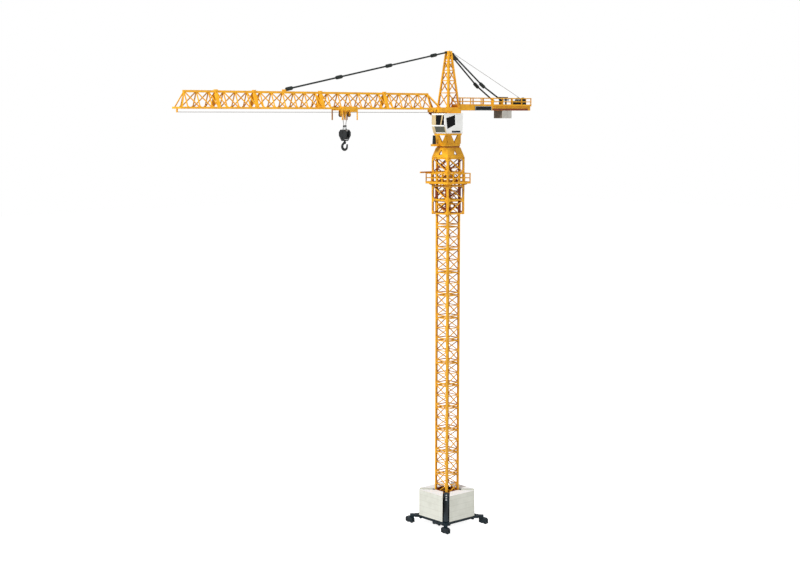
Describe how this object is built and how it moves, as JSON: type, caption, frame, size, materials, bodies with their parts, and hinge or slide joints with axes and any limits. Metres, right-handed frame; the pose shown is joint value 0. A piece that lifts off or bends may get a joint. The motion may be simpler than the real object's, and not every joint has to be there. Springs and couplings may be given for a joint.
{
  "type": "tower crane model",
  "caption": "Die-cast scale model of a saddle-jib tower crane: turning jib and counter-jib, travelling trolley, hook block on ropes, ballasted undercarriage",
  "frame": {"origin": "centre of the tower's footprint, on the ground under the wheels", "axes": "Z is the tower's axis, up; +X points along the jib; the cab is on the +Y side"},
  "size_m": [0.683, 0.101, 0.7674],
  "materials": {
    "crane_yellow": "satin",
    "base_dark": "satin",
    "ballast_white": "matte",
    "stay_black": "satin",
    "cab_white": "satin",
    "cab_glass": "gloss",
    "cab_cream": "matte",
    "counterweight_grey": "matte",
    "rope_grey": "matte",
    "block_dark": "satin",
    "sheave_dark": "matte",
    "board_dark": "satin",
    "winch_dark": "satin"
  },
  "bodies": {
    "tower": {"base_frame": "base_dark", "bogies": "base_dark", "base_struts": "base_dark", "ballast_front": "ballast_white", "ballast_left": "ballast_white", "ballast_rear": "ballast_white", "ballast_right": "ballast_white", "travel_motors": "winch_dark", "tower_base": "crane_yellow", "tower_section_1": "crane_yellow", "tower_section_2": "crane_yellow", "tower_section_3": "crane_yellow", "tower_section_4": "crane_yellow", "tower_section_5": "crane_yellow", "climbing_cage": "crane_yellow", "walkway": "crane_yellow", "walkway_railing": "crane_yellow", "insertion_beam": "crane_yellow", "ring_support": "crane_yellow", "slewing_ring": "crane_yellow"},
    "upper": {"slew_platform": "crane_yellow", "slew_motor": "winch_dark", "crown": "crane_yellow", "jib_deck": "crane_yellow", "cab_shell": "cab_white", "cab_glass": "cab_glass", "cab_interior": "cab_cream", "cab_support": "crane_yellow", "tower_head": "crane_yellow", "jib_section_1": "crane_yellow", "jib_section_2": "crane_yellow", "jib_section_3": "crane_yellow", "jib_section_4": "crane_yellow", "jib_section_5": "crane_yellow", "front_stay": "stay_black", "rear_stays": "stay_black", "counter_frame": "crane_yellow", "counter_deck": "crane_yellow", "counter_railing": "crane_yellow", "name_board": "board_dark", "counterweight": "counterweight_grey", "counterweight_hanger": "stay_black", "winch_frame": "winch_dark", "winch_motor": "winch_dark", "hoist_rope": "rope_grey", "jib_rope": "rope_grey"},
    "drum": {"hoist_drum": "block_dark"},
    "trolley": {"trolley_frame": "crane_yellow", "trolley_sheaves": "sheave_dark", "rope_falls": "rope_grey"},
    "hook_block": {"hook_block": "block_dark"},
    "hook": {"hook": "block_dark"}
  },
  "joints": [
    {"name": "slew", "type": "hinge", "parent": "tower", "child": "upper", "pos_m": [0, 0, 0.6169], "axis": [0, 0, 1], "continuous": true},
    {"name": "drum_spin", "type": "hinge", "parent": "upper", "child": "drum", "pos_m": [-0.1645, 0, 0.6889], "axis": [0, 1, 0], "continuous": true},
    {"name": "trolley_travel", "type": "slide", "parent": "upper", "child": "trolley", "axis": [1, 0, 0], "range_m": [-0.131, 0.259]},
    {"name": "hoist", "type": "slide", "parent": "trolley", "child": "hook_block", "axis": [0, 0, -1], "range_m": [0, 0.597], "deforming": ["rope_falls"]},
    {"name": "hook_swivel", "type": "hinge", "parent": "hook_block", "child": "hook", "pos_m": [0.212, 0, 0.629], "axis": [0, 0, 1], "continuous": true}
  ]
}
